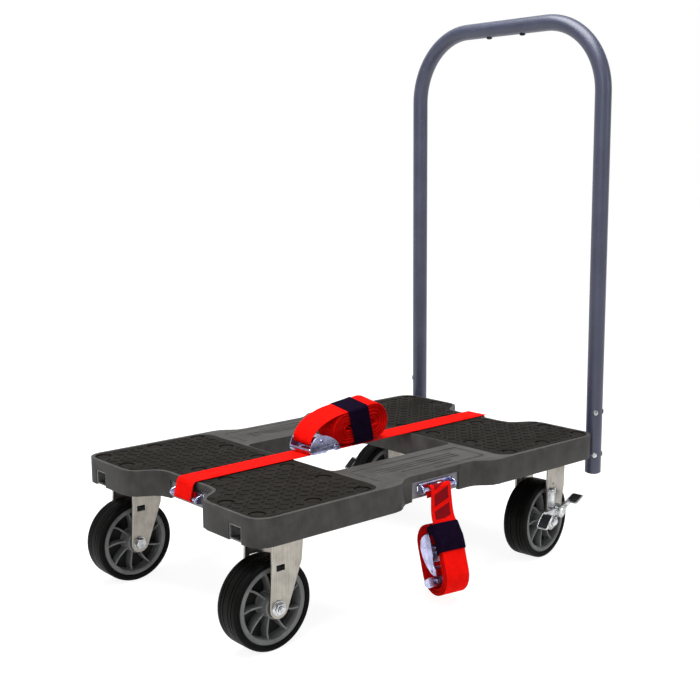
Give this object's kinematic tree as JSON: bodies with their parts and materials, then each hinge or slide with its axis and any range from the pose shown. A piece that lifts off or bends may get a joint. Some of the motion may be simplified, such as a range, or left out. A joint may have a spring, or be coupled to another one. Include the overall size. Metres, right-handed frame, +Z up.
{
  "type": "furniture dolly",
  "caption": "Plastic-decked furniture dolly with rigid front and braked swivel rear casters, a U-shaped push bar and cam-buckle straps.",
  "frame": {"origin": "on the floor, under the centre of the whole outline, 5.2 mm behind and 4.5 mm right of the deck centre", "axes": "+X towards the push bar, +Y to the left side, +Z up"},
  "size_m": [0.8928, 0.6138, 1.059],
  "materials": {
    "deck_plastic": "moulded, finely grained, slightly mottled dark grey",
    "grip_rubber": "raised dash tread, near black",
    "tyre_rubber": "smooth black rubber with turned lines",
    "rim_plastic": "moulded grey plastic, satin",
    "zinc_steel": "bright zinc plate with a blue cast",
    "stainless": "satin pressed steel with a warm cast",
    "bar_paint": "slate blue-grey hammered powder coat",
    "webbing": "woven red polyester webbing",
    "hook_and_loop": "near-black napped hook-and-loop tape"
  },
  "bodies": {
    "frame": {"deck_shell": "deck_plastic", "grip_pad_front": "grip_rubber", "grip_pad_rear": "grip_rubber", "anchor_plate_front": "stainless", "anchor_plate_rear": "stainless", "anchor_plate_right": "stainless", "anchor_plate_left": "stainless", "socket_sleeve_front_right": "stainless", "fork_front_right": "stainless", "bearing_front_right": "zinc_steel", "axle_bolt_front_right": "zinc_steel", "socket_sleeve_front_left": "stainless", "fork_front_left": "stainless", "bearing_front_left": "zinc_steel", "axle_bolt_front_left": "zinc_steel", "socket_sleeve_rear_right": "stainless", "socket_sleeve_rear_left": "stainless", "swivel_plate_rear_right": "stainless", "kingpin_rear_right": "zinc_steel", "bar_screw_right_upper": "zinc_steel", "bar_screw_right_lower": "zinc_steel", "socket_bracket_right": "bar_paint", "swivel_plate_rear_left": "stainless", "kingpin_rear_left": "zinc_steel", "bar_screw_left_upper": "zinc_steel", "bar_screw_left_lower": "zinc_steel", "socket_bracket_left": "bar_paint", "push_bar_tube": "bar_paint", "deck_strap_long": "webbing", "deck_strap_short": "webbing", "deck_strap_wrap": "hook_and_loop", "deck_buckle_frame": "zinc_steel", "deck_strap_fitting_front": "zinc_steel", "deck_strap_fitting_rear": "zinc_steel", "hanging_fitting": "zinc_steel"},
    "wheel_front_right": {"tyre_front_right": "tyre_rubber", "rim_front_right": "rim_plastic"},
    "wheel_front_left": {"tyre_front_left": "tyre_rubber", "rim_front_left": "rim_plastic"},
    "caster_rear_right": {"fork_rear_right": "stainless", "bearing_rear_right": "zinc_steel", "axle_bolt_rear_right": "zinc_steel", "brake_housing_rear_right": "zinc_steel"},
    "wheel_rear_right": {"tyre_rear_right": "tyre_rubber", "rim_rear_right": "rim_plastic"},
    "brake_rear_right": {"brake_pedals_rear_right": "zinc_steel"},
    "caster_rear_left": {"fork_rear_left": "stainless", "bearing_rear_left": "zinc_steel", "axle_bolt_rear_left": "zinc_steel", "brake_housing_rear_left": "zinc_steel"},
    "wheel_rear_left": {"tyre_rear_left": "tyre_rubber", "rim_rear_left": "rim_plastic"},
    "brake_rear_left": {"brake_pedals_rear_left": "zinc_steel"},
    "deck_cam": {"deck_buckle_cam": "zinc_steel"},
    "hanging_strap": {"hanging_strap": "webbing", "hanging_strap_wrap": "hook_and_loop", "hanging_buckle_frame": "zinc_steel", "hanging_loose_fitting": "zinc_steel"},
    "hanging_cam": {"hanging_buckle_cam": "zinc_steel"}
  },
  "joints": [
    {"name": "wheel_spin_front_right", "type": "hinge", "parent": "frame", "child": "wheel_front_right", "pos_m": [-0.3702, -0.2075, 0.0762], "axis": [0, 1, 0], "continuous": true},
    {"name": "wheel_spin_front_left", "type": "hinge", "parent": "frame", "child": "wheel_front_left", "pos_m": [-0.3702, 0.2165, 0.0762], "axis": [0, 1, 0], "continuous": true},
    {"name": "caster_swivel_rear_right", "type": "hinge", "parent": "frame", "child": "caster_rear_right", "pos_m": [0.3298, -0.2075, 0.19], "axis": [0, 0, 1], "continuous": true},
    {"name": "wheel_spin_rear_right", "type": "hinge", "parent": "caster_rear_right", "child": "wheel_rear_right", "pos_m": [0.29444, -0.21162, 0.0762], "axis": [-0.1157, 0.9933, 0], "continuous": true},
    {"name": "brake_pedal_rear_right", "type": "hinge", "parent": "caster_rear_right", "child": "brake_rear_right", "pos_m": [0.30385, -0.25784, 0.098], "axis": [-0.1157, 0.9933, 0], "range_deg": [0, 25]},
    {"name": "caster_swivel_rear_left", "type": "hinge", "parent": "frame", "child": "caster_rear_left", "pos_m": [0.3298, 0.2165, 0.19], "axis": [0, 0, 1], "continuous": true},
    {"name": "wheel_spin_rear_left", "type": "hinge", "parent": "caster_rear_left", "child": "wheel_rear_left", "pos_m": [0.29491, 0.22357, 0.0762], "axis": [0.1987, 0.9801, 0], "continuous": true},
    {"name": "brake_pedal_rear_left", "type": "hinge", "parent": "caster_rear_left", "child": "brake_rear_left", "pos_m": [0.30817, 0.26884, 0.098], "axis": [0.1987, 0.9801, 0], "range_deg": [0, 25]},
    {"name": "deck_cam_press", "type": "hinge", "parent": "frame", "child": "deck_cam", "pos_m": [-0.09617, 0.00729, 0.26], "axis": [-0.0243, 0.9997, 0], "range_deg": [0, 20], "stiffness_Nm_per_rad": 0.8, "springref_deg": -8.59},
    {"name": "hanging_strap_swing", "type": "hinge", "parent": "frame", "child": "hanging_strap", "pos_m": [-0.0182, -0.2515, 0.208], "axis": [1, 0, 0], "range_deg": [-25, 12]},
    {"name": "hanging_cam_press", "type": "hinge", "parent": "hanging_strap", "child": "hanging_cam", "pos_m": [-0.01109, -0.24441, 0.09257], "axis": [-0.9872, 0.1593, 0], "range_deg": [0, 20], "stiffness_Nm_per_rad": 0.8, "springref_deg": -8.59}
  ]
}
